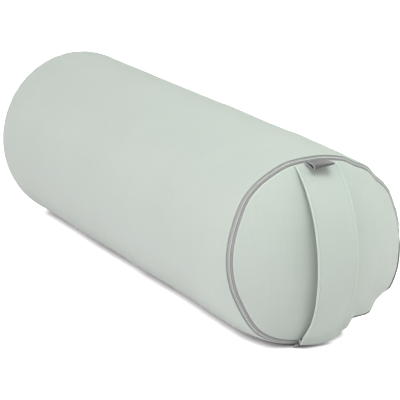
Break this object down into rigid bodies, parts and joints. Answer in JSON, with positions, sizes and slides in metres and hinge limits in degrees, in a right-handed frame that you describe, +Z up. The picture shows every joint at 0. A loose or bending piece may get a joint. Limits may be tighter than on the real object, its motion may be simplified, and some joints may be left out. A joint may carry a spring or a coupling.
{
  "type": "yoga bolster",
  "caption": "Round yoga bolster: a filled inner cushion in a zipped cotton cover with domed ends, a carry strap over one end and a folded seam label.",
  "frame": {"origin": "on the floor, under the middle of the part's bounding box", "axes": "+Y from the zipped end with the strap to the plain end, +Z up"},
  "size_m": [0.22, 0.7113, 0.2026],
  "materials": {
    "cover": "matt sage green cotton canvas",
    "label": "satin woven ribbon, dark grey",
    "zip_tape": "grey woven tape",
    "zip_coil": "grey nylon coil",
    "zip_metal": "satin grey die-cast zinc",
    "liner": "unbleached cotton calico",
    "filling": "loose grain husks"
  },
  "bodies": {
    "bolster": {"cover_tube": "cover", "cover_front_panel": "cover", "cover_rear_panel": "cover", "carry_strap": "cover", "zip_tape_tube_side": "zip_tape", "zip_tape_panel_side": "zip_tape", "zip_coil_tube_side": "zip_coil", "zip_coil_panel_side": "zip_coil", "zip_top_stop_tube_side": "zip_coil", "zip_top_stop_panel_side": "zip_coil", "zip_bottom_stop": "zip_coil", "liner_tube": "liner", "liner_front_panel": "liner", "liner_rear_panel": "liner", "liner_zip_tape_upper": "zip_tape", "liner_zip_tape_lower": "zip_tape", "liner_zip_coil_upper": "zip_coil", "liner_zip_coil_lower": "zip_coil", "liner_zip_top_stop": "zip_coil", "liner_zip_bottom_stop": "zip_coil", "husk_filling": "filling"},
    "slider": {"zip_slider": "zip_metal"},
    "pull": {"zip_pull": "zip_metal"},
    "label": {"seam_label": "label"},
    "liner_slider": {"liner_zip_slider": "zip_metal"},
    "liner_pull": {"liner_zip_pull": "zip_metal"}
  },
  "joints": [
    {"name": "zip_travel", "type": "hinge", "parent": "bolster", "child": "slider", "pos_m": [0, -0.30635, 0.1015], "axis": [0, 1, 0], "range_deg": [0, 253.7]},
    {"name": "pull_swing", "type": "hinge", "parent": "slider", "child": "pull", "pos_m": [-0.01024, -0.30789, 0.00219], "axis": [0.0659, -0.766, 0.6394], "range_deg": [-7.5, 172.5]},
    {"name": "label_flap", "type": "hinge", "parent": "bolster", "child": "label", "pos_m": [-0.00322, -0.31151, 0.19851], "axis": [-1, 0, 0], "range_deg": [-18, 60], "stiffness_Nm_per_rad": 0.002},
    {"name": "liner_zip_travel", "type": "slide", "parent": "bolster", "child": "liner_slider", "axis": [0, -1, 0], "range_m": [0, 0.2044]},
    {"name": "liner_pull_swing", "type": "hinge", "parent": "liner_slider", "child": "liner_pull", "pos_m": [0.1048, 0.11585, 0.09655], "axis": [0, 0, 1], "range_deg": [0, 12]}
  ]
}
